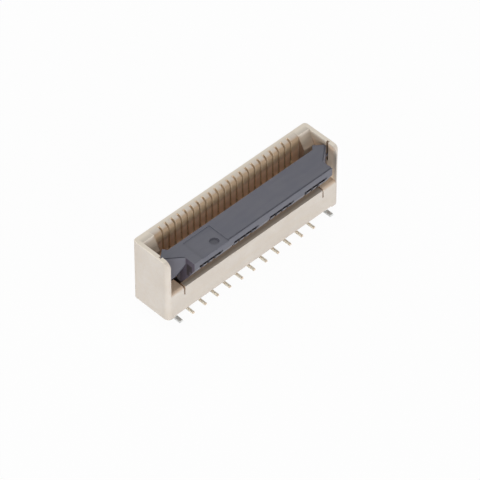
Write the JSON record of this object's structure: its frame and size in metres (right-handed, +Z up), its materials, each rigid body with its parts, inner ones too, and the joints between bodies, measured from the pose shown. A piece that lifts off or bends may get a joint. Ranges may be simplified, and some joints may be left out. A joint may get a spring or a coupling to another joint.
{
  "type": "fpc connector",
  "caption": "Upright surface-mount connector for a flat flexible circuit, with a flip lock over its mouth and staggered solder feet.",
  "frame": {"origin": "on the board's face, at the middle of the row of feet and of the depth of the housing", "axes": "+X along the row of contacts, +Z up out of the mouth, -Y towards the side that the lock overhangs"},
  "size_m": [0.0142, 0.004, 0.0052],
  "materials": {
    "housing_resin": "matt moulded liquid-crystal polymer, warm ivory",
    "lock_resin": "matt moulded nylon, dark blue grey",
    "contact_plating": "gold-plated copper alloy",
    "tab_plating": "matt tin-plated copper alloy"
  },
  "bodies": {
    "housing": {"housing": "housing_resin", "contact_01": "contact_plating", "contact_02": "contact_plating", "contact_03": "contact_plating", "contact_04": "contact_plating", "contact_05": "contact_plating", "contact_06": "contact_plating", "contact_07": "contact_plating", "contact_08": "contact_plating", "contact_09": "contact_plating", "contact_10": "contact_plating", "contact_11": "contact_plating", "contact_12": "contact_plating", "contact_13": "contact_plating", "contact_14": "contact_plating", "contact_15": "contact_plating", "contact_16": "contact_plating", "contact_17": "contact_plating", "contact_18": "contact_plating", "contact_19": "contact_plating", "contact_20": "contact_plating", "contact_21": "contact_plating", "contact_22": "contact_plating", "solder_tab_left": "tab_plating", "solder_tab_right": "tab_plating"},
    "actuator": {"actuator": "lock_resin"}
  },
  "joints": [
    {"name": "actuator_hinge", "type": "hinge", "parent": "housing", "child": "actuator", "pos_m": [0, -0.00068, 0.0041], "axis": [-1, 0, 0], "range_deg": [0, 90]}
  ]
}
